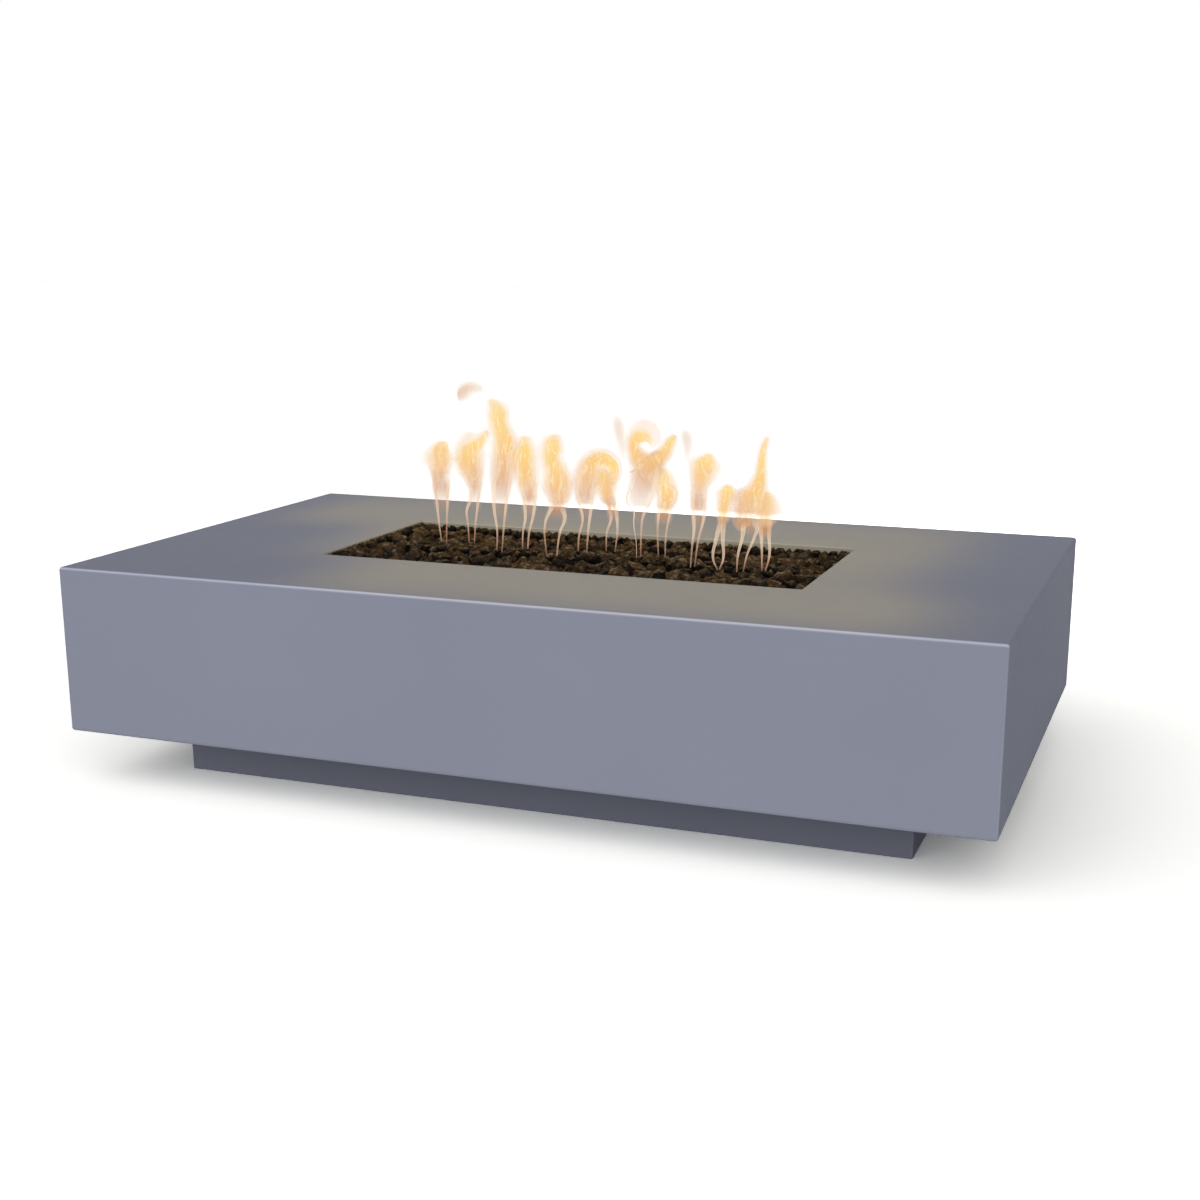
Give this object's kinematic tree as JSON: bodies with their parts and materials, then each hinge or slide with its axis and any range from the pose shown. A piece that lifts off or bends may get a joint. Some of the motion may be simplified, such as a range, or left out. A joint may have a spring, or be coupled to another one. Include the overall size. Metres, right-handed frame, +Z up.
{
  "type": "gas fire pit",
  "caption": "Low rectangular gas fire pit: painted sheet-steel slab on a recessed plinth, with a long stone-filled fire opening, a linear burner and a key valve.",
  "frame": {"origin": "on the floor, under the middle of the slab and plinth, at the gas entry", "axes": "+X along the length, +Y from front to rear, +Z up"},
  "size_m": [1.6764, 1.0352, 0.4064],
  "materials": {
    "body_paint": "satin powder coat, grey lavender",
    "plinth_paint": "satin powder coat, grey lavender",
    "floor_paint": "satin powder coat, unseen side",
    "frame_paint": "matt black primer",
    "zinc_fastener": "bright zinc plate",
    "stainless": "brushed stainless steel",
    "brass": "plain brass",
    "black_pipe": "black steel pipe",
    "gas_hose": "corrugated stainless steel",
    "seat_plastic": "white fluoropolymer",
    "ball_chrome": "hard chrome",
    "spring_steel": "oiled spring steel",
    "key_chrome": "bright chrome",
    "lava_stone": "porous dark brown lava"
  },
  "bodies": {
    "pit": {"top_shell": "body_paint", "toe_kick_base": "plinth_paint", "underside_panel": "floor_paint", "frame_rail_front": "frame_paint", "frame_rail_rear": "frame_paint", "frame_cross_left": "frame_paint", "frame_cross_right": "frame_paint", "frame_post_front_left": "frame_paint", "frame_post_front_right": "frame_paint", "frame_post_rear_left": "frame_paint", "frame_post_rear_right": "frame_paint", "pan_ledge_front": "frame_paint", "pan_ledge_rear": "frame_paint", "pan_ledge_left": "frame_paint", "pan_ledge_right": "frame_paint", "top_stiffener_left": "frame_paint", "top_stiffener_right": "frame_paint", "base_bolts": "zinc_fastener", "base_nuts": "zinc_fastener", "panel_screws": "zinc_fastener", "burner_pan": "stainless", "burner_pipe": "stainless", "burner_cap_left": "stainless", "burner_cap_right": "stainless", "burner_stand_left": "stainless", "burner_stand_right": "stainless", "burner_jets": "brass", "feed_elbow": "brass", "hose_nuts": "brass", "valve_body": "brass", "valve_adapter": "brass", "valve_locknut": "brass", "inlet_union": "brass", "inlet_locknut": "brass", "pan_locknut": "brass", "feed_nipple": "black_pipe", "burner_hose": "gas_hose", "inlet_hose": "gas_hose", "valve_seats": "seat_plastic", "stem_ring": "spring_steel", "valve_escutcheon": "key_chrome", "lava_rocks": "lava_stone"},
    "valve_plug": {"valve_ball": "ball_chrome", "valve_stem": "brass"},
    "key": {"key_shaft": "key_chrome", "key_bar": "key_chrome"}
  },
  "joints": [
    {"name": "valve_turn", "type": "hinge", "parent": "pit", "child": "valve_plug", "pos_m": [0.4718, 0.4096, 0.254], "axis": [0, 1, 0], "range_deg": [0, 90]},
    {"name": "key_pull", "type": "slide", "parent": "valve_plug", "child": "key", "axis": [0, 1, 0], "range_m": [0, 0.12]}
  ]
}
